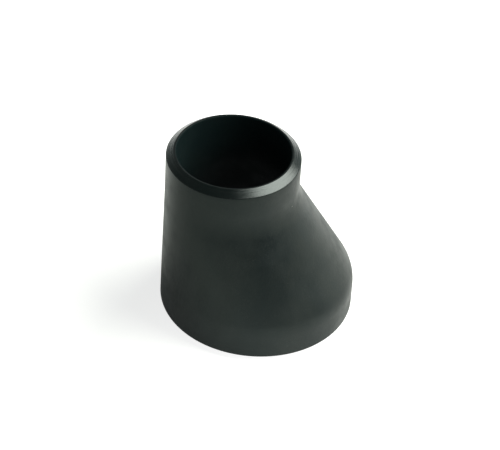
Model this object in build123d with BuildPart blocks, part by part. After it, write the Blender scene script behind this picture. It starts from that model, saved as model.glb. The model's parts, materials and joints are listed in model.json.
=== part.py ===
from build123d import *
from math import atan2, radians, tan
import os

# Eccentric butt-weld reducer, nominal pipe size 3 x 2: one seamless pressed piece.
# +Z runs from the large end's face at z = 0 to the small end's face.
# +X is the sloping side. The flat side opposite stands straight up, from end to end.

# sizes in millimetres
LARGE_OUTSIDE_DIAMETER = 88.9
SMALL_OUTSIDE_DIAMETER = 60.3
END_TO_END = 89.0
LARGE_WALL = 5.6
SMALL_WALL = 4.5

# the sloping side's two bends, each at its corner's depth from the nearer end face
SHOULDER_CORNER_DEPTH = 18.0
SHOULDER_RADIUS = 14.0
NECK_CORNER_DEPTH = 21.5
NECK_RADIUS = 24.0

# weld preparation, the same at both ends
BEVEL_ANGLE = 37.5
ROOT_FACE = 1.0
BORE_EDGE_BREAK = 0.3

# how closely the round sections follow one another, and how far cutters overrun
SECTIONS_PER_BEND = 6
SECTIONS_PER_SLOPE = 4
CUT_PAST = 1.0

# derived places
LARGE_RADIUS = LARGE_OUTSIDE_DIAMETER / 2
SMALL_RADIUS = SMALL_OUTSIDE_DIAMETER / 2
SMALL_END_X = SMALL_RADIUS - LARGE_RADIUS
FLAT_SIDE_X = -LARGE_RADIUS
NECK_X = SMALL_END_X + SMALL_RADIUS
SHOULDER_HEIGHT = SHOULDER_CORNER_DEPTH
NECK_HEIGHT = END_TO_END - NECK_CORNER_DEPTH
HALF_TURN_SLOPE = tan(atan2(LARGE_RADIUS - NECK_X, NECK_HEIGHT - SHOULDER_HEIGHT) / 2)


def sloping_side_points(large_wall, small_wall):
    """Points up the sloping side's two bends and slope, moved inwards by the walls."""
    shoulder = (LARGE_RADIUS - large_wall, SHOULDER_HEIGHT - large_wall * HALF_TURN_SLOPE)
    neck = (NECK_X - small_wall, NECK_HEIGHT - small_wall * HALF_TURN_SLOPE)
    with BuildLine(Plane.XZ) as side:
        FilletPolyline(
            (shoulder[0], 0),
            shoulder,
            neck,
            (neck[0], END_TO_END),
            radius=[SHOULDER_RADIUS - large_wall, NECK_RADIUS + small_wall],
        )
    points = list(side.vertices().sort_by(Axis.Z)[1:-1])
    bends_and_slope = side.edges().sort_by(Axis.Z)[1:-1]
    counts = [SECTIONS_PER_BEND, SECTIONS_PER_SLOPE, SECTIONS_PER_BEND]
    for edge, count in zip(bends_and_slope, counts):
        points += [edge @ (step / count) for step in range(1, count)]
    return sorted(points, key=lambda point: point.Z)


def flat_side_x(height, large_wall, small_wall):
    """The flat side's line at a height, moved inwards by the wall there."""
    share = (height - SHOULDER_HEIGHT) / (NECK_HEIGHT - SHOULDER_HEIGHT)
    share = min(max(share, 0), 1)
    gentle_share = share * share * (3 - 2 * share)
    return FLAT_SIDE_X + large_wall + (small_wall - large_wall) * gentle_share


def round_section(height, low_x, high_x):
    """A circle at a height that spans from one x to the other."""
    with BuildSketch(Plane.XY.offset(height)) as section:
        with Locations(((low_x + high_x) / 2, 0)):
            Circle((high_x - low_x) / 2)
    return section.sketch


def reducing_shape(large_wall, small_wall):
    """A round section at every height, spanning from the flat side to the sloping side."""
    points = sloping_side_points(large_wall, small_wall)
    sections = [
        round_section(point.Z, flat_side_x(point.Z, large_wall, small_wall), point.X)
        for point in points
    ]
    large_end = round_section(0, FLAT_SIDE_X + large_wall, LARGE_RADIUS - large_wall)
    small_end = round_section(END_TO_END, FLAT_SIDE_X + small_wall, NECK_X - small_wall)
    with BuildPart() as shape:
        loft(sections)
        extrude(large_end, amount=points[0].Z)
        extrude(small_end, amount=points[-1].Z - END_TO_END)
    return shape.part


def end_cutter(face_height, inwards, axis_x, outside_radius, wall):
    """Two rings that an end loses: outside its weld bevel, and at its bore's sharp edge."""
    bore_radius = outside_radius - wall
    bevel_radius = bore_radius + ROOT_FACE
    bevel_depth = inwards * (outside_radius - bevel_radius) * tan(radians(BEVEL_ANGLE))
    bevel_ring = [
        (bevel_radius, 0),
        (outside_radius, bevel_depth),
        (outside_radius + CUT_PAST, bevel_depth),
        (outside_radius + CUT_PAST, -inwards * CUT_PAST),
        (bevel_radius, -inwards * CUT_PAST),
    ]
    bore_edge_ring = [
        (bore_radius, inwards * BORE_EDGE_BREAK),
        (bore_radius + BORE_EDGE_BREAK, 0),
        (bore_radius + BORE_EDGE_BREAK, -inwards * CUT_PAST),
        (bore_radius - CUT_PAST, -inwards * CUT_PAST),
        (bore_radius - CUT_PAST, inwards * BORE_EDGE_BREAK),
    ]
    through_axis = Plane(origin=(axis_x, 0, face_height), x_dir=(1, 0, 0), z_dir=(0, -1, 0))
    with BuildPart() as cutter:
        with BuildSketch(through_axis):
            for ring in (bevel_ring, bore_edge_ring):
                with BuildLine():
                    Polyline(*ring, close=True)
                make_face()
        revolve(axis=Axis((axis_x, 0, 0), (0, 0, 1)))
    return cutter.part


with BuildPart() as reducer_body:
    add(reducing_shape(0, 0))
    add(reducing_shape(LARGE_WALL, SMALL_WALL), mode=Mode.SUBTRACT)
    add(end_cutter(0, 1, 0, LARGE_RADIUS, LARGE_WALL), mode=Mode.SUBTRACT)
    add(end_cutter(END_TO_END, -1, SMALL_END_X, SMALL_RADIUS, SMALL_WALL), mode=Mode.SUBTRACT)

os.makedirs("parts", exist_ok=True)
reducer_body.part.label = "reducer_body"
export_step(reducer_body.part, "parts/reducer_body.step")
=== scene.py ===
import json
import math

import bmesh
import bpy
from mathutils import Matrix, Vector, noise


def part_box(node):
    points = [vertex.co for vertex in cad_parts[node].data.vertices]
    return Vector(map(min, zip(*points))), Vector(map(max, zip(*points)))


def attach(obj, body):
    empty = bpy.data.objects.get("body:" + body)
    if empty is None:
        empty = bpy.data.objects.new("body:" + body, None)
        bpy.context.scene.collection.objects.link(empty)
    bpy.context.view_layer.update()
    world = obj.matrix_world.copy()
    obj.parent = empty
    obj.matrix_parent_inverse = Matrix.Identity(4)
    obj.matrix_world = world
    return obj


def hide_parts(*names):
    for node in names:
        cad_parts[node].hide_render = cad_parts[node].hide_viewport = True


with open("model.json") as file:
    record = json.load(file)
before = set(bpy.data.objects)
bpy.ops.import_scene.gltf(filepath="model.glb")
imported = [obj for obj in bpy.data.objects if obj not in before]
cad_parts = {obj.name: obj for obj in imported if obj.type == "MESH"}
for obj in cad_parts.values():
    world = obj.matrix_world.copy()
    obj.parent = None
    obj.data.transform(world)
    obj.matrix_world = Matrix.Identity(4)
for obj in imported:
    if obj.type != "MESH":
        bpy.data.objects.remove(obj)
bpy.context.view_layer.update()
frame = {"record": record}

MM = 0.001

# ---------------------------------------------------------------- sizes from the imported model

record = frame["record"]
mounts = {mount["name"]: mount for mount in record["mounts"]}
low_corner, high_corner = (Vector(corner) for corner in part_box("reducer_body"))

HEIGHT = high_corner.z - low_corner.z
LARGE_RADIUS = mounts["large_end_outside"]["dims"]["r_mm"] * MM
SMALL_RADIUS = mounts["small_end_outside"]["dims"]["r_mm"] * MM
LARGE_WALL = LARGE_RADIUS - mounts["large_end_bore"]["dims"]["r_mm"] * MM
SMALL_WALL = SMALL_RADIUS - mounts["small_end_bore"]["dims"]["r_mm"] * MM
SMALL_END_X = mounts["small_end_bore"]["pos_m"][0]
NECK_X = SMALL_END_X + SMALL_RADIUS
FLAT_SIDE_X = -LARGE_RADIUS

# the sloping side's two bends
SHOULDER_HEIGHT = 18.0 * MM
SHOULDER_RADIUS = 14.0 * MM
NECK_HEIGHT = HEIGHT - 21.5 * MM
NECK_RADIUS = 24.0 * MM

# weld preparation, with the softness that paint gives its edges
BEVEL_ANGLE = math.radians(37.5)
ROOT_FACE = 1.0 * MM
BORE_EDGE_BREAK = 0.3 * MM
WALL_EDGE_SOFTNESS = 0.35 * MM
ROOT_EDGE_SOFTNESS = 0.18 * MM
BORE_EDGE_SOFTNESS = 0.1 * MM

# the bevels lie within BEVEL_ZONE of the ends, and worn paint within EDGE_BAND of a sharp edge
BEVEL_ZONE = 6.0 * MM
EDGE_BAND = 1.1 * MM

# the mesh's points round each ring, and the longest step between rings on a straight run
RING_POINTS = 320
LONGEST_STEP = 1.4 * MM

# the hollows that pressing leaves: their depth, their two widths, and how they fade to the ends
HOLLOW_DEPTH = 0.10 * MM
BROAD_HOLLOW = 24 * MM
SMALL_HOLLOW = 9 * MM
BROAD_HOLLOW_SHARE = 0.7
HOLLOW_FADE = 10 * MM

# each surface's place in the shell's list of materials
MATERIAL_PLACES = {"wall": 0, "small_bevel": 1, "large_bevel": 1, "small_root": 2,
                   "large_root": 2, "bore": 3}

# ---------------------------------------------------------------- paint

DUST_COLOUR = (0.24, 0.24, 0.22, 1)
BARE_EDGE_COLOUR = (0.075, 0.078, 0.074, 1)
PAINT_IOR = 1.48
NIB_HEIGHT = 0.05 * MM
RING_STRENGTH = 0.5

# noise scales, in cells per metre
DULL_PATCH_SCALE = 60.0
FINE_DUST_SCALE = 5200.0
SETTLED_DUST_SCALE = 70.0
COARSE_RING_SCALE = 1100.0
CHATTER_SCALE = 160.0
WEAR_FLECK_SCALE = 1500.0
WEAR_STRETCH_SCALE = 90.0
BOARD_TOOTH_SCALE = 2500.0

# a cell of the speck pattern holds a speck if its random number is over this
SPECK_RARITY = 0.80
# the tone pattern's scale on each axis, lower along the pipe so that its patches are longer there
PATCH_STRETCH = (1.0, 1.0, 0.45)

# ---------------------------------------------------------------- light, floor and camera

# the oval softbox: azimuth from +X and elevation in degrees, distance and size in metres
KEY_DIRECTION = (-8.0, 49.0)
KEY_DISTANCE = 0.9
KEY_WIDTH = 1.08
KEY_HEIGHT = 0.90
KEY_BRIGHTNESS = 6.6
KEY_COLOUR = (1.0, 1.0, 0.94)

# the room: its walls up to CEILING_STARTS (a direction's Z), its ceiling, and the softbox's
# spilled light from SPILL_STARTS (the cosine of the angle from the softbox) inwards
ROOM_COLOUR = (0.86, 1.0, 0.97, 1)
WALL_BRIGHTNESS = 0.55
CEILING_BRIGHTNESS = 0.12
CEILING_STARTS = 0.60
SPILL_BRIGHTNESS = 2.0
SPILL_STARTS = 0.76

FLOOR_HALF_WIDTH = 3.0
FLOOR_CLEARANCE = 0.02 * MM
BOARD_COLOUR = (0.42, 0.425, 0.40, 1)
# painted shade: the board's colour in the paint's reflections beyond the painted pool of light
PAINTED_SHADE_BEYOND_POOL = (0.05, 0.08, 0.08, 1)
BOARD_TOOTH_DEPTH = 0.02 * MM

# the painted pool of light, a glow in the floor itself that lies behind the fitting and reaches
# just in front of it; beyond its edge the board is painted dark in the paint's reflections
POOL_CENTRE = (0.45, 1.25, 0.0)
POOL_INNER = 1.50
POOL_OUTER = 1.68
POOL_DIRECTION = (0.10, 0.99, 0.0)
POOL_RISES = (0.02, 0.24)
PAINTED_POOL_GLOW = (0.03, 1.15)

# painted light: a glow in the floor close round the fitting, stronger towards NEAR_DIRECTION
NEAR_FADES = (0.08, 0.14)
NEAR_DIRECTION = (0.71, -0.71, 0.0)
NEAR_RISES = (-0.06, 0.07)
PAINTED_NEAR_GLOW = (0.05, 0.36)

# painted light: a glow that the floor adds where the camera sees it, so that it is paler than its
# reflections
PAINTED_GLOW_SEEN_BY_CAMERA = (0.66, 0.66, 0.66, 1)
BLACK = (0.0, 0.0, 0.0, 1)

# the camera: angles in degrees, distance in metres, lens in millimetres
CAMERA_AZIMUTH = -16.99
CAMERA_ELEVATION = 40.17
CAMERA_ROLL = 3.61
CAMERA_DISTANCE = 1.0787
CAMERA_LENS = 170.75
CAMERA_SENSOR = 36.0
AIM_LEFT = 4.66 * MM
AIM_DOWN = 0.50 * MM


# ---------------------------------------------------------------- the shell's mesh

def round_corner(before, corner, after, radius, steps):
    """Points on the arc that softens one corner of an outline."""
    to_before = (before - corner).normalized()
    to_after = (after - corner).normalized()
    half_angle = to_before.angle(to_after) / 2
    centre = corner + (to_before + to_after).normalized() * radius / math.sin(half_angle)
    reach = radius / math.tan(half_angle)
    start = corner + to_before * reach - centre
    end = corner + to_after * reach - centre
    turn = start.angle(end)
    arc = []
    for step in range(steps + 1):
        share = step / steps
        spoke = start * math.sin((1 - share) * turn) + end * math.sin(share * turn)
        arc.append(centre + spoke / math.sin(turn))
    return arc


def wall_section():
    """The sloping side's closed outline, up the outside and down the bore.

    Each point is (x, z, where), and where names the surface that starts there.
    """
    half_turn = math.atan2(LARGE_RADIUS - NECK_X, NECK_HEIGHT - SHOULDER_HEIGHT) / 2
    large_bevel_width = LARGE_WALL - ROOT_FACE
    small_bevel_width = SMALL_WALL - ROOT_FACE
    large_bore = LARGE_RADIUS - LARGE_WALL
    small_bore = NECK_X - SMALL_WALL
    # each corner's x and z, the radius and steps of its arc, and the surface that starts there
    corners = [
        (large_bore + BORE_EDGE_BREAK, 0, BORE_EDGE_SOFTNESS, 2, "large_root"),
        (large_bore + ROOT_FACE, 0, ROOT_EDGE_SOFTNESS, 3, "large_bevel"),
        (LARGE_RADIUS, large_bevel_width * math.tan(BEVEL_ANGLE), WALL_EDGE_SOFTNESS, 4, "wall"),
        (LARGE_RADIUS, SHOULDER_HEIGHT, SHOULDER_RADIUS, 12, "wall"),
        (NECK_X, NECK_HEIGHT, NECK_RADIUS, 16, "wall"),
        (NECK_X, HEIGHT - small_bevel_width * math.tan(BEVEL_ANGLE), WALL_EDGE_SOFTNESS, 4,
         "small_bevel"),
        (small_bore + ROOT_FACE, HEIGHT, ROOT_EDGE_SOFTNESS, 3, "small_root"),
        (small_bore + BORE_EDGE_BREAK, HEIGHT, BORE_EDGE_SOFTNESS, 2, "bore"),
        (small_bore, HEIGHT - BORE_EDGE_BREAK, BORE_EDGE_SOFTNESS, 2, "bore"),
        (small_bore, NECK_HEIGHT - SMALL_WALL * math.tan(half_turn), NECK_RADIUS + SMALL_WALL, 16,
         "bore"),
        (large_bore, SHOULDER_HEIGHT - LARGE_WALL * math.tan(half_turn),
         SHOULDER_RADIUS - LARGE_WALL, 10, "bore"),
        (large_bore, BORE_EDGE_BREAK, BORE_EDGE_SOFTNESS, 2, "bore"),
    ]
    section = []
    for index, (x, z, radius, steps, surface) in enumerate(corners):
        before = Vector(corners[index - 1][:2])
        after = Vector(corners[(index + 1) % len(corners)][:2])
        arc = round_corner(before, Vector((x, z)), after, radius, steps)
        if section:
            section += even_steps(section[-1], arc[0])
        middle = len(arc) // 2
        old_surface = corners[index - 1][4]
        for step, point in enumerate(arc):
            section.append((point.x, point.y, old_surface if step < middle else surface))
    return section + even_steps(section[-1], Vector(section[0][:2]))


def even_steps(last, next_point):
    """Points that divide a straight run, short of both of its ends."""
    start = Vector(last[:2])
    count = math.ceil((next_point - start).length / LONGEST_STEP)
    steps = []
    for step in range(1, count):
        point = start.lerp(next_point, step / count)
        steps.append((point.x, point.y, last[2]))
    return steps


def inset_at(x, z, surface):
    """How far a ring lies inside the outer wall, which is the same on the flat side."""
    end_zone = BORE_EDGE_BREAK * 2 if surface == "bore" else BEVEL_ZONE
    if z < end_zone:
        return LARGE_RADIUS - x
    if z > HEIGHT - end_zone:
        return NECK_X - x
    if surface != "bore":
        return 0.0
    share = (z - SHOULDER_HEIGHT) / (NECK_HEIGHT - SHOULDER_HEIGHT)
    share = min(max(share, 0.0), 1.0)
    gentle_share = share * share * (3 - 2 * share)
    return LARGE_WALL + (SMALL_WALL - LARGE_WALL) * gentle_share


def make_shell():
    """The whole fitting as one closed mesh of round rings, all of them level."""
    section = wall_section()
    mesh = bpy.data.meshes.new("reducer_shell")
    shell = bpy.data.objects.new("reducer_shell", mesh)
    bpy.context.scene.collection.objects.link(shell)
    work = bmesh.new()
    rings = []
    for x, z, surface in section:
        x_low = FLAT_SIDE_X + inset_at(x, z, surface)
        centre_x = (x + x_low) / 2
        radius = (x - x_low) / 2
        ring = []
        for step in range(RING_POINTS):
            angle = 2 * math.pi * step / RING_POINTS
            outwards = Vector((math.cos(angle), math.sin(angle), 0))
            place = Vector((centre_x, 0, z)) + outwards * radius
            if surface in ("wall", "bore"):
                place += outwards * unevenness(place, surface)
            ring.append(work.verts.new(place))
        rings.append(ring)
    for index, ring in enumerate(rings):
        above = rings[(index + 1) % len(rings)]
        for step in range(RING_POINTS):
            following = (step + 1) % RING_POINTS
            face = work.faces.new((ring[step], ring[following], above[following], above[step]))
            face.smooth = True
            face.material_index = MATERIAL_PLACES[section[index][2]]
    bmesh.ops.recalc_face_normals(work, faces=work.faces)
    work.to_mesh(mesh)
    work.free()
    store_edge_nearness(mesh, section)
    return shell


def sharp_edge_places():
    """Where the outline turns sharply, as points across the wall's sloping side."""
    large_bore = LARGE_RADIUS - LARGE_WALL
    small_bore = NECK_X - SMALL_WALL
    large_drop = (LARGE_WALL - ROOT_FACE) * math.tan(BEVEL_ANGLE)
    small_drop = (SMALL_WALL - ROOT_FACE) * math.tan(BEVEL_ANGLE)
    return [Vector(place) for place in (
        (LARGE_RADIUS, large_drop), (NECK_X, HEIGHT - small_drop), (large_bore + ROOT_FACE, 0),
        (small_bore + ROOT_FACE, HEIGHT), (large_bore, 0), (small_bore, HEIGHT))]


def store_edge_nearness(mesh, section):
    """Store 1 on the sharp edges, falling to 0 at EDGE_BAND off them, for the worn paint."""
    edges = sharp_edge_places()
    nearness = mesh.attributes.new("edge_nearness", "FLOAT", "POINT")
    for index, (x, z, _) in enumerate(section):
        distance = min((Vector((x, z)) - edge).length for edge in edges)
        value = max(1 - distance / EDGE_BAND, 0.0)
        for step in range(RING_POINTS):
            nearness.data[index * RING_POINTS + step].value = value


def unevenness(place, surface):
    """The slight hollows of a pressed wall, inwards only and none near the machined ends."""
    from_ends = min(place.z, HEIGHT - place.z) - BEVEL_ZONE
    fade = min(max(from_ends / HOLLOW_FADE, 0.0), 1.0)
    broad = noise.noise(place / BROAD_HOLLOW) * BROAD_HOLLOW_SHARE
    small = noise.noise(place / SMALL_HOLLOW) * (1 - BROAD_HOLLOW_SHARE)
    depth = HOLLOW_DEPTH * fade * (0.5 + 0.5 * (broad + small))
    return -depth if surface == "wall" else depth


# ---------------------------------------------------------------- shader groups

class Nodes:
    """A node tree, with short ways to add and join its nodes."""

    def __init__(self, tree):
        self.tree = tree

    def node(self, kind, **settings):
        node = self.tree.nodes.new(kind)
        for name, value in settings.items():
            setattr(node, name, value)
        return node

    def link(self, source, target):
        self.tree.links.new(source, target)


class Group(Nodes):
    """A shader node group with named inputs and outputs."""

    def __init__(self, name, inputs, outputs):
        super().__init__(bpy.data.node_groups.new(name, "ShaderNodeTree"))
        for label, kind, value in inputs:
            socket = self.tree.interface.new_socket(label, in_out="INPUT", socket_type=kind)
            socket.default_value = value
        for label, kind in outputs:
            self.tree.interface.new_socket(label, in_out="OUTPUT", socket_type=kind)
        self.inputs = self.tree.nodes.new("NodeGroupInput").outputs
        self.outputs = self.tree.nodes.new("NodeGroupOutput").inputs


def maths(group, operation, first, second=None):
    """A Math node whose inputs are sockets or numbers."""
    node = group.node("ShaderNodeMath", operation=operation)
    for index, value in enumerate((first, second)):
        if value is None:
            continue
        if isinstance(value, (int, float)):
            node.inputs[index].default_value = value
        else:
            group.link(value, node.inputs[index])
    return node.outputs[0]


def remap(group, value, low, high, new_low, new_high):
    """A value carried from one range to another, with a smooth start and end."""
    node = group.node("ShaderNodeMapRange", interpolation_type="SMOOTHSTEP")
    for index, limit in enumerate((low, high, new_low, new_high), start=1):
        node.inputs[index].default_value = limit
    group.link(value, node.inputs[0])
    return node.outputs[0]


def noise_at(group, place, scale, detail=2.0, roughness=0.5, dimensions="3D"):
    """Noise at a place, or at a distance when it is 1D, its scale in cells per metre."""
    node = group.node("ShaderNodeTexNoise", noise_dimensions=dimensions)
    node.inputs["Detail"].default_value = detail
    node.inputs["Roughness"].default_value = roughness
    if isinstance(scale, (int, float)):
        node.inputs["Scale"].default_value = scale
    else:
        group.link(scale, node.inputs["Scale"])
    if dimensions == "1D":
        group.link(place, node.inputs["W"])
    else:
        group.link(place, node.inputs["Vector"])
    return node.outputs["Fac"]


def object_place(group):
    return group.node("ShaderNodeTexCoord").outputs["Object"]


def paint_grain_group():
    """Orange peel with the blasted steel's grain under it."""
    group = Group("Paint grain",
                  [("Peel Scale", "NodeSocketFloat", 900.0),
                   ("Grain Scale", "NodeSocketFloat", 3200.0),
                   ("Grain Share", "NodeSocketFloat", 0.4)],
                  [("Height", "NodeSocketFloat"), ("Dullness", "NodeSocketFloat")])
    place = object_place(group)
    peel = noise_at(group, place, group.inputs["Peel Scale"], detail=1.5)
    grain = noise_at(group, place, group.inputs["Grain Scale"], detail=3.0, roughness=0.65)
    grain_part = maths(group, "MULTIPLY", grain, group.inputs["Grain Share"])
    group.link(maths(group, "ADD", peel, grain_part), group.outputs["Height"])
    patches = noise_at(group, place, DULL_PATCH_SCALE, detail=4.0, roughness=0.6)
    dullness = maths(group, "ADD", remap(group, patches, 0.35, 0.65, 0.0, 0.7),
                     remap(group, grain, 0.4, 0.7, 0.0, 0.3))
    group.link(dullness, group.outputs["Dullness"])
    return group.tree


def paint_tone_group():
    """Black paint that is a little greyer in soft patches and along the run of the pipe."""
    group = Group("Paint tone",
                  [("Thick Paint", "NodeSocketColor", (0.01, 0.011, 0.011, 1)),
                   ("Thin Paint", "NodeSocketColor", (0.02, 0.022, 0.02, 1)),
                   ("Patch Scale", "NodeSocketFloat", 45.0)],
                  [("Color", "NodeSocketColor")])
    place = object_place(group)
    stretch = group.node("ShaderNodeMapping")
    stretch.inputs["Scale"].default_value = PATCH_STRETCH
    group.link(place, stretch.inputs["Vector"])
    patches = noise_at(group, stretch.outputs[0], group.inputs["Patch Scale"], detail=5.0,
                       roughness=0.62)
    mix = group.node("ShaderNodeMix", data_type="RGBA")
    group.link(remap(group, patches, 0.3, 0.72, 0.0, 1.0), mix.inputs["Factor"])
    group.link(group.inputs["Thick Paint"], mix.inputs["A"])
    group.link(group.inputs["Thin Paint"], mix.inputs["B"])
    group.link(mix.outputs["Result"], group.outputs["Color"])
    return group.tree


def dust_group():
    """Pale nibs and settled dust: a few round specks, and a haze of very small ones."""
    group = Group("Dust specks",
                  [("Speck Scale", "NodeSocketFloat", 120.0),
                   ("Speck Size", "NodeSocketFloat", 0.075),
                   ("Haze", "NodeSocketFloat", 0.3)],
                  [("Mask", "NodeSocketFloat"), ("Nib", "NodeSocketFloat")])
    place = object_place(group)
    cells = group.node("ShaderNodeTexVoronoi", feature="F1")
    group.link(place, cells.inputs["Vector"])
    group.link(group.inputs["Speck Scale"], cells.inputs["Scale"])
    chance = group.node("ShaderNodeSeparateColor")
    group.link(cells.outputs["Color"], chance.inputs[0])
    rare = maths(group, "GREATER_THAN", chance.outputs[0], SPECK_RARITY)
    size = maths(group, "MULTIPLY", group.inputs["Speck Size"], chance.outputs[1])
    near = maths(group, "LESS_THAN", cells.outputs["Distance"], size)
    nib = maths(group, "MULTIPLY", rare, near)
    fine = noise_at(group, place, FINE_DUST_SCALE, detail=2.0)
    settled = noise_at(group, place, SETTLED_DUST_SCALE, detail=3.0)
    haze = maths(group, "MULTIPLY", remap(group, fine, 0.62, 0.72, 0.0, 1.0),
                 remap(group, settled, 0.45, 0.7, 0.0, 1.0))
    haze = maths(group, "MULTIPLY", haze, group.inputs["Haze"])
    group.link(maths(group, "MAXIMUM", nib, haze), group.outputs["Mask"])
    group.link(nib, group.outputs["Nib"])
    return group.tree


def turning_marks_group():
    """The fine rings that the bevelling tool leaves round an end's axis."""
    group = Group("Turning marks",
                  [("Upper Axis X", "NodeSocketFloat", 0.0),
                   ("Halfway Up", "NodeSocketFloat", 0.05),
                   ("Rings Per Metre", "NodeSocketFloat", 5200.0)],
                  [("Height", "NodeSocketFloat"), ("Bright Ring", "NodeSocketFloat")])
    place = object_place(group)
    parts = group.node("ShaderNodeSeparateXYZ")
    group.link(place, parts.inputs[0])
    upper = maths(group, "GREATER_THAN", parts.outputs["Z"], group.inputs["Halfway Up"])
    axis = maths(group, "MULTIPLY", upper, group.inputs["Upper Axis X"])
    from_axis = maths(group, "SUBTRACT", parts.outputs["X"], axis)
    squares = maths(group, "ADD", maths(group, "MULTIPLY", from_axis, from_axis),
                    maths(group, "MULTIPLY", parts.outputs["Y"], parts.outputs["Y"]))
    radius = maths(group, "SQRT", squares)
    fine = noise_at(group, radius, group.inputs["Rings Per Metre"], detail=3.0, roughness=0.7,
                    dimensions="1D")
    coarse = noise_at(group, radius, COARSE_RING_SCALE, detail=1.5, dimensions="1D")
    chatter = noise_at(group, place, CHATTER_SCALE, detail=2.0)
    height = maths(group, "ADD", maths(group, "MULTIPLY", fine, 0.3),
                   maths(group, "MULTIPLY", coarse, 0.7))
    group.link(height, group.outputs["Height"])
    ring = maths(group, "MULTIPLY", remap(group, fine, 0.5, 0.68, 0.0, 1.0),
                 remap(group, chatter, 0.3, 0.7, 0.3, 1.0))
    group.link(ring, group.outputs["Bright Ring"])
    return group.tree


def edge_wear_group():
    """Broken flecks where paint is thin along an edge. Edge is 1 on the edge itself."""
    group = Group("Edge wear",
                  [("Edge", "NodeSocketFloat", 0.0), ("Amount", "NodeSocketFloat", 0.5)],
                  [("Mask", "NodeSocketFloat")])
    place = object_place(group)
    flecks = noise_at(group, place, WEAR_FLECK_SCALE, detail=4.0, roughness=0.7)
    stretches = noise_at(group, place, WEAR_STRETCH_SCALE, detail=2.0)
    chance = maths(group, "ADD", maths(group, "MULTIPLY", flecks, 0.6),
                   maths(group, "MULTIPLY", stretches, 0.4))
    reach = maths(group, "MULTIPLY", group.inputs["Edge"], group.inputs["Amount"])
    group.link(remap(group, maths(group, "ADD", chance, reach), 0.8, 1.0, 0.0, 1.0),
               group.outputs["Mask"])
    return group.tree


# ---------------------------------------------------------------- materials

class Finish(Nodes):
    """A material's node tree and its Principled shader."""

    def __init__(self, name):
        self.material = bpy.data.materials.new(name)
        self.material.use_nodes = True
        super().__init__(self.material.node_tree)
        self.shader = self.tree.nodes["Principled BSDF"]

    def place_group(self, tree, **values):
        node = self.node("ShaderNodeGroup", node_tree=tree)
        for name, value in values.items():
            node.inputs[name.replace("_", " ")].default_value = value
        return node

    def mix(self, factor, first, second):
        node = self.node("ShaderNodeMix", data_type="RGBA")
        self.link(factor, node.inputs["Factor"])
        for socket, value in (("A", first), ("B", second)):
            if isinstance(value, tuple):
                node.inputs[socket].default_value = value
            else:
                self.link(value, node.inputs[socket])
        return node.outputs["Result"]

    def bump(self, height, depth, before=None):
        node = self.node("ShaderNodeBump")
        node.inputs["Strength"].default_value = 1.0
        node.inputs["Distance"].default_value = depth
        self.link(height, node.inputs["Height"])
        if before is not None:
            self.link(before, node.inputs["Normal"])
        return node.outputs["Normal"]


def paint(name, groups, thick, thin, roughness, dull_roughness, peel_depth, dust, wear,
          grain_share=0.4, gloss_level=0.5, gloss_tint=(1, 1, 1, 1), turning_depth=None,
          ring_colour=None):
    """A black paint with grain, tone, dust and edge wear, and turning marks if it has any."""
    finish = Finish(name)
    tone = finish.place_group(groups["tone"], Thick_Paint=thick, Thin_Paint=thin)
    grain = finish.place_group(groups["grain"], Grain_Share=grain_share)
    specks = finish.place_group(groups["dust"], Haze=dust)
    edge = finish.node("ShaderNodeAttribute", attribute_name="edge_nearness")
    worn = finish.place_group(groups["wear"], Amount=wear)
    finish.link(edge.outputs["Fac"], worn.inputs["Edge"])
    colour = finish.mix(worn.outputs["Mask"], tone.outputs["Color"], BARE_EDGE_COLOUR)
    dullness = remap(finish, grain.outputs["Dullness"], 0.0, 1.0, roughness, dull_roughness)
    normal = finish.bump(grain.outputs["Height"], peel_depth)
    if turning_depth is not None:
        rings = finish.place_group(groups["turning"], Upper_Axis_X=SMALL_END_X,
                                   Halfway_Up=HEIGHT / 2)
        ring_mask = maths(finish, "MULTIPLY", rings.outputs["Bright Ring"], RING_STRENGTH)
        colour = finish.mix(ring_mask, colour, ring_colour)
        normal = finish.bump(rings.outputs["Height"], turning_depth, normal)
    colour = finish.mix(specks.outputs["Mask"], colour, DUST_COLOUR)
    normal = finish.bump(specks.outputs["Nib"], NIB_HEIGHT, normal)
    finish.link(colour, finish.shader.inputs["Base Color"])
    finish.link(dullness, finish.shader.inputs["Roughness"])
    finish.link(normal, finish.shader.inputs["Normal"])
    finish.shader.inputs["IOR"].default_value = PAINT_IOR
    finish.shader.inputs["Specular IOR Level"].default_value = gloss_level
    finish.shader.inputs["Specular Tint"].default_value = gloss_tint
    finish.shader.inputs["Metallic"].default_value = 0.0
    return finish.material


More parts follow.
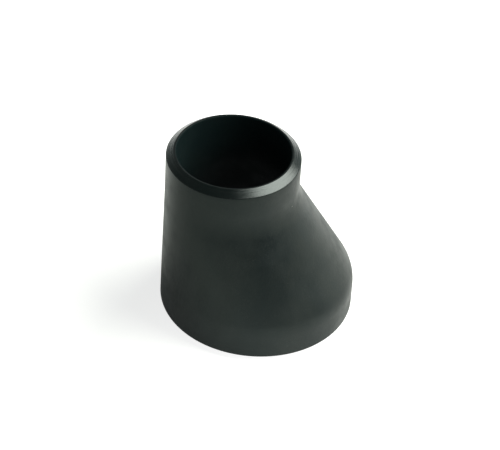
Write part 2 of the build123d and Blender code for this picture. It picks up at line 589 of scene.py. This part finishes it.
def make_materials():
    """The paint's four finishes, in the order of MATERIAL_PLACES."""
    groups = {"tone": paint_tone_group(), "grain": paint_grain_group(), "dust": dust_group(),
              "turning": turning_marks_group(), "wear": edge_wear_group()}
    wall = paint("black_paint_on_the_wall", groups,
                 thick=(0.0003, 0.0011, 0.0023, 1), thin=(0.0076, 0.0080, 0.0076, 1),
                 roughness=0.29, dull_roughness=0.46, peel_depth=0.026 * MM,
                 dust=0.25, wear=0.10, gloss_tint=(0.82, 1.0, 0.98, 1))
    bevel = paint("black_paint_on_the_bevel", groups,
                  thick=(0.0006, 0.0020, 0.0022, 1), thin=(0.0024, 0.0046, 0.0044, 1),
                  roughness=0.18, dull_roughness=0.27, peel_depth=0.005 * MM,
                  dust=0.1, wear=0.12, gloss_level=0.6, gloss_tint=(0.93, 1.0, 0.97, 1),
                  turning_depth=0.13 * MM, ring_colour=(0.010, 0.012, 0.011, 1))
    root = paint("thin_paint_on_the_root_face", groups,
                 thick=(0.0006, 0.0020, 0.0022, 1), thin=(0.0026, 0.0048, 0.0046, 1),
                 roughness=0.42, dull_roughness=0.52, peel_depth=0.004 * MM,
                 dust=0.1, wear=0.10, gloss_level=0.30,
                 turning_depth=0.006 * MM, ring_colour=(0.012, 0.014, 0.013, 1))
    bore = paint("dull_paint_in_the_bore", groups,
                 thick=(0.0022, 0.0075, 0.0080, 1), thin=(0.0045, 0.0100, 0.0100, 1),
                 roughness=0.55, dull_roughness=0.72, peel_depth=0.030 * MM,
                 dust=0.12, wear=0.05, grain_share=0.9, gloss_level=0.10)
    return [wall, bevel, root, bore]


def along(group, place, direction):
    """How far a place lies along a direction."""
    dot = group.node("ShaderNodeVectorMath", operation="DOT_PRODUCT")
    group.link(place, dot.inputs[0])
    dot.inputs[1].default_value = direction
    return dot.outputs["Value"]


def floor_material():
    """Pale board lit by the lamps, with painted light: it glows in a painted pool behind the
    fitting, close round it and where the camera sees it, and in the paint's reflections it is
    painted dark beyond the pool.
    """
    finish = Finish("pale_board_with_painted_light")
    place = object_place(finish)
    ray = finish.node("ShaderNodeLightPath")
    distance = finish.node("ShaderNodeVectorMath", operation="DISTANCE")
    finish.link(place, distance.inputs[0])
    distance.inputs[1].default_value = POOL_CENTRE
    # painted shade: beyond the painted pool of light the board is dark in the paint's reflections
    outside_painted_pool = remap(finish, distance.outputs["Value"], POOL_INNER, POOL_OUTER, 0.0, 1.0)
    painted_shade_in_reflections = maths(finish, "MULTIPLY", outside_painted_pool, ray.outputs["Is Glossy Ray"])
    colour = finish.mix(painted_shade_in_reflections, BOARD_COLOUR, PAINTED_SHADE_BEYOND_POOL)
    finish.link(colour, finish.shader.inputs["Base Color"])
    # painted light: inside the pool the floor glows, more towards the back
    painted_pool_ramp = remap(finish, along(finish, place, POOL_DIRECTION), *POOL_RISES, *PAINTED_POOL_GLOW)
    in_painted_pool = maths(finish, "SUBTRACT", 1.0, outside_painted_pool)
    painted_pool_light = maths(finish, "MULTIPLY", painted_pool_ramp, in_painted_pool)
    # painted light: the floor glows close round the fitting, more to one side
    from_middle = finish.node("ShaderNodeVectorMath", operation="LENGTH")
    finish.link(place, from_middle.inputs[0])
    near = remap(finish, from_middle.outputs["Value"], *NEAR_FADES, 1.0, 0.0)
    painted_near_ramp = remap(finish, along(finish, place, NEAR_DIRECTION), *NEAR_RISES, *PAINTED_NEAR_GLOW)
    painted_near_light = maths(finish, "MULTIPLY", near, painted_near_ramp)
    # painted light: the floor's emission, the glow seen by the camera added to the pool's glow
    # and the near glow
    light = finish.node("ShaderNodeMix", data_type="RGBA", blend_type="ADD")
    light.inputs["Factor"].default_value = 1.0
    finish.link(finish.mix(ray.outputs["Is Camera Ray"], BLACK, PAINTED_GLOW_SEEN_BY_CAMERA), light.inputs["A"])
    finish.link(maths(finish, "ADD", painted_pool_light, painted_near_light), light.inputs["B"])
    finish.link(light.outputs["Result"], finish.shader.inputs["Emission Color"])
    finish.shader.inputs["Emission Strength"].default_value = 1.0
    tooth = noise_at(finish, place, BOARD_TOOTH_SCALE, detail=2.0)
    finish.link(remap(finish, tooth, 0.3, 0.7, 0.75, 0.85), finish.shader.inputs["Roughness"])
    finish.link(finish.bump(tooth, BOARD_TOOTH_DEPTH), finish.shader.inputs["Normal"])
    finish.shader.inputs["Specular IOR Level"].default_value = 0.2
    return finish.material


# ---------------------------------------------------------------- floor, light and camera

def make_floor():
    mesh = bpy.data.meshes.new("studio_floor")
    work = bmesh.new()
    level = low_corner.z - FLOOR_CLEARANCE
    corners = [(-1, -1), (1, -1), (1, 1), (-1, 1)]
    work.faces.new([work.verts.new((x * FLOOR_HALF_WIDTH, y * FLOOR_HALF_WIDTH, level))
                    for x, y in corners])
    work.to_mesh(mesh)
    work.free()
    floor = bpy.data.objects.new("studio_floor", mesh)
    bpy.context.scene.collection.objects.link(floor)
    floor.data.materials.append(floor_material())


def direction_to(azimuth, elevation):
    """A unit vector, its azimuth from +X and both angles in degrees."""
    turn, rise = math.radians(azimuth), math.radians(elevation)
    return Vector((math.cos(rise) * math.cos(turn), math.cos(rise) * math.sin(turn),
                   math.sin(rise)))


def make_softbox():
    """An oval area light that faces the fitting. KEY_BRIGHTNESS is that of its own surface."""
    light = bpy.data.lights.new("key_softbox", "AREA")
    light.shape = "ELLIPSE"
    light.size = KEY_WIDTH
    light.size_y = KEY_HEIGHT
    light.energy = KEY_BRIGHTNESS * math.pi * (math.pi / 4 * KEY_WIDTH * KEY_HEIGHT)
    light.color = KEY_COLOUR
    softbox = bpy.data.objects.new("key_softbox", light)
    bpy.context.scene.collection.objects.link(softbox)
    direction = direction_to(*KEY_DIRECTION)
    softbox.location = Vector((0, 0, HEIGHT / 2)) + direction * KEY_DISTANCE
    softbox.rotation_euler = direction.to_track_quat("Z", "Y").to_euler()


def make_world():
    """A dim room, dimmest overhead, with a glow of spilled light round the softbox."""
    world = bpy.data.worlds.new("studio")
    world.use_nodes = True
    bpy.context.scene.world = world
    room = Nodes(world.node_tree)
    background = room.tree.nodes["Background"]
    direction = room.node("ShaderNodeTexCoord").outputs["Generated"]
    spill = remap(room, along(room, direction, direction_to(*KEY_DIRECTION)), SPILL_STARTS, 1.0,
                  0.0, SPILL_BRIGHTNESS)
    parts = room.node("ShaderNodeSeparateXYZ")
    room.link(direction, parts.inputs[0])
    walls = remap(room, parts.outputs["Z"], 0.0, CEILING_STARTS, WALL_BRIGHTNESS,
                  CEILING_BRIGHTNESS)
    room.link(maths(room, "ADD", walls, spill), background.inputs["Strength"])
    background.inputs["Color"].default_value = ROOM_COLOUR


def make_light():
    make_world()
    make_softbox()
    bpy.context.scene.view_settings.view_transform = "Standard"
    bpy.context.scene.view_settings.look = "None"


def make_camera():
    """Above and a little to the left of the front, at the end of a long lens."""
    azimuth = math.radians(CAMERA_AZIMUTH)
    elevation = math.radians(CAMERA_ELEVATION)
    roll = math.radians(CAMERA_ROLL)
    back = Vector((math.sin(azimuth) * math.cos(elevation),
                   -math.cos(azimuth) * math.cos(elevation), math.sin(elevation)))
    level_right = Vector((math.cos(azimuth), math.sin(azimuth), 0))
    level_up = back.cross(level_right)
    right = level_right * math.cos(roll) + level_up * math.sin(roll)
    up = level_up * math.cos(roll) - level_right * math.sin(roll)
    lens = bpy.data.cameras.new("camera")
    lens.sensor_width = CAMERA_SENSOR
    lens.lens = CAMERA_LENS
    lens.clip_start = 0.05
    camera = bpy.data.objects.new("camera", lens)
    bpy.context.scene.collection.objects.link(camera)
    aim = Vector((0, 0, HEIGHT / 2)) - right * AIM_LEFT - up * AIM_DOWN
    turn = Matrix((right, up, back)).transposed().to_4x4()
    camera.matrix_world = Matrix.Translation(aim + back * CAMERA_DISTANCE) @ turn
    bpy.context.scene.camera = camera


# ---------------------------------------------------------------- the scene

make_camera()
shell = make_shell()
for material in make_materials():
    shell.data.materials.append(material)
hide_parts("reducer_body")
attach(shell, "root")
make_floor()
make_light()
